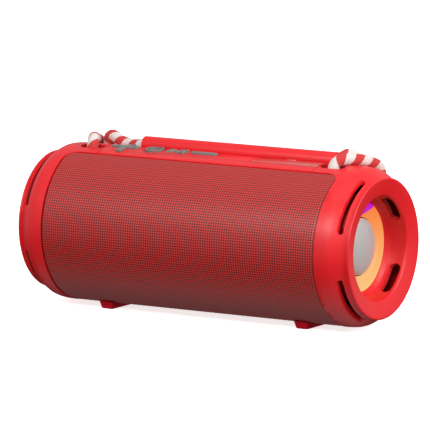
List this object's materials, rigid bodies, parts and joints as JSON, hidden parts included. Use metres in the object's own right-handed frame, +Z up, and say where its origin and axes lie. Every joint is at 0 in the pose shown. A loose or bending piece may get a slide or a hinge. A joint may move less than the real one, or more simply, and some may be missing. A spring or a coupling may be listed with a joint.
{
  "type": "portable party speaker",
  "caption": "Cylindrical portable speaker with a fabric wrap, open light-ring ends, a top button strip, bar feet and a rope handle through a grip tube.",
  "frame": {"origin": "on the floor under the middle of the cylinder, at the bottom centre of the whole object", "axes": "+X along the cylinder towards its right end as seen from the front, -Y to the front, +Z up"},
  "size_m": [0.241, 0.1, 0.1096],
  "materials": {
    "shell": "satin moulded plastic, bright red",
    "fabric_wrap": "fine woven speaker mesh, red over black",
    "foot_rubber": "dark red moulded rubber",
    "button_rubber": "grey silicone rubber",
    "port_cover": "glossy red cover",
    "rope": "braided cord, red and white spiral",
    "light_diffuser": "frosted diffuser, lit orange",
    "dome": "pale grey satin dome",
    "surround_rubber": "black butyl rubber",
    "circuit_board": "green solder mask",
    "black_plastic": "black moulded ABS",
    "steel": "zinc-plated steel",
    "cone_paper": "pressed paper cone",
    "battery_sleeve": "blue shrink sleeve"
  },
  "bodies": {
    "shell": {"aux_socket": "steel", "battery_pack": "battery_sleeve", "button_board": "circuit_board", "card_socket": "steel", "control_panel": "shell", "driver_frame_left": "steel", "driver_frame_right": "steel", "driver_magnet_left": "steel", "driver_magnet_right": "steel", "end_cap_left": "shell", "end_cap_right": "shell", "foot_left": "foot_rubber", "foot_right": "foot_rubber", "foot_screw_1": "steel", "foot_screw_2": "steel", "foot_screw_3": "steel", "foot_screw_4": "steel", "grille_wrap": "fabric_wrap", "inner_tube": "black_plastic", "light_board_left": "circuit_board", "light_board_right": "circuit_board", "light_ring_left": "light_diffuser", "light_ring_right": "light_diffuser", "main_board": "circuit_board", "port_board": "circuit_board", "radiator_frame_left": "black_plastic", "radiator_frame_right": "black_plastic", "rope_loop_left": "rope", "rope_loop_right": "rope", "rope_strand_left": "rope", "rope_strand_right": "rope", "surround_left": "surround_rubber", "surround_right": "surround_rubber", "switch_minus": "black_plastic", "switch_play": "black_plastic", "switch_plus": "black_plastic", "switch_power": "black_plastic", "usb_c_socket": "steel"},
    "button_plus": {"button_plus": "button_rubber"},
    "button_power": {"button_power": "button_rubber"},
    "button_play": {"button_play": "button_rubber"},
    "button_minus": {"button_minus": "button_rubber"},
    "port_flap": {"port_flap": "port_cover"},
    "radiator_left": {"radiator_left": "dome"},
    "radiator_right": {"radiator_right": "dome"},
    "driver_cone_left": {"driver_cone_left": "cone_paper"},
    "driver_cone_right": {"driver_cone_right": "cone_paper"},
    "handle_rope": {"rope_middle": "rope"},
    "grip": {"grip_tube": "shell"}
  },
  "joints": [
    {"name": "handle_lift", "type": "slide", "parent": "shell", "child": "handle_rope", "axis": [0, 0, 1], "range_m": [0, 0.016], "deforming": ["rope_strand_left", "rope_strand_right"]},
    {"name": "grip_spin", "type": "hinge", "parent": "handle_rope", "child": "grip", "pos_m": [0, 0.0085, 0.10295], "axis": [1, 0, 0], "continuous": true},
    {"name": "flap_open", "type": "hinge", "parent": "shell", "child": "port_flap", "pos_m": [0.05375, -0.0095, 0.10109], "axis": [1, 0, 0], "range_deg": [0, 130]},
    {"name": "press_plus", "type": "slide", "parent": "shell", "child": "button_plus", "axis": [0, 0, -1], "range_m": [0, 0.001], "stiffness_N_per_m": 400, "springref_m": -0.0005},
    {"name": "press_power", "type": "slide", "parent": "shell", "child": "button_power", "axis": [0, 0, -1], "range_m": [0, 0.001], "stiffness_N_per_m": 400, "springref_m": -0.0005},
    {"name": "press_play", "type": "slide", "parent": "shell", "child": "button_play", "axis": [0, 0, -1], "range_m": [0, 0.001], "stiffness_N_per_m": 400, "springref_m": -0.0005},
    {"name": "press_minus", "type": "slide", "parent": "shell", "child": "button_minus", "axis": [0, 0, -1], "range_m": [0, 0.001], "stiffness_N_per_m": 400, "springref_m": -0.0005},
    {"name": "radiator_travel_left", "type": "slide", "parent": "shell", "child": "radiator_left", "axis": [-1, 0, 0], "range_m": [-0.0015, 0.0015], "stiffness_N_per_m": 900},
    {"name": "cone_travel_left", "type": "slide", "parent": "shell", "child": "driver_cone_left", "axis": [0, -1, 0], "range_m": [-0.0015, 0.0015], "stiffness_N_per_m": 1200},
    {"name": "radiator_travel_right", "type": "slide", "parent": "shell", "child": "radiator_right", "axis": [1, 0, 0], "range_m": [-0.0015, 0.0015], "stiffness_N_per_m": 900},
    {"name": "cone_travel_right", "type": "slide", "parent": "shell", "child": "driver_cone_right", "axis": [0, -1, 0], "range_m": [-0.0015, 0.0015], "stiffness_N_per_m": 1200}
  ]
}
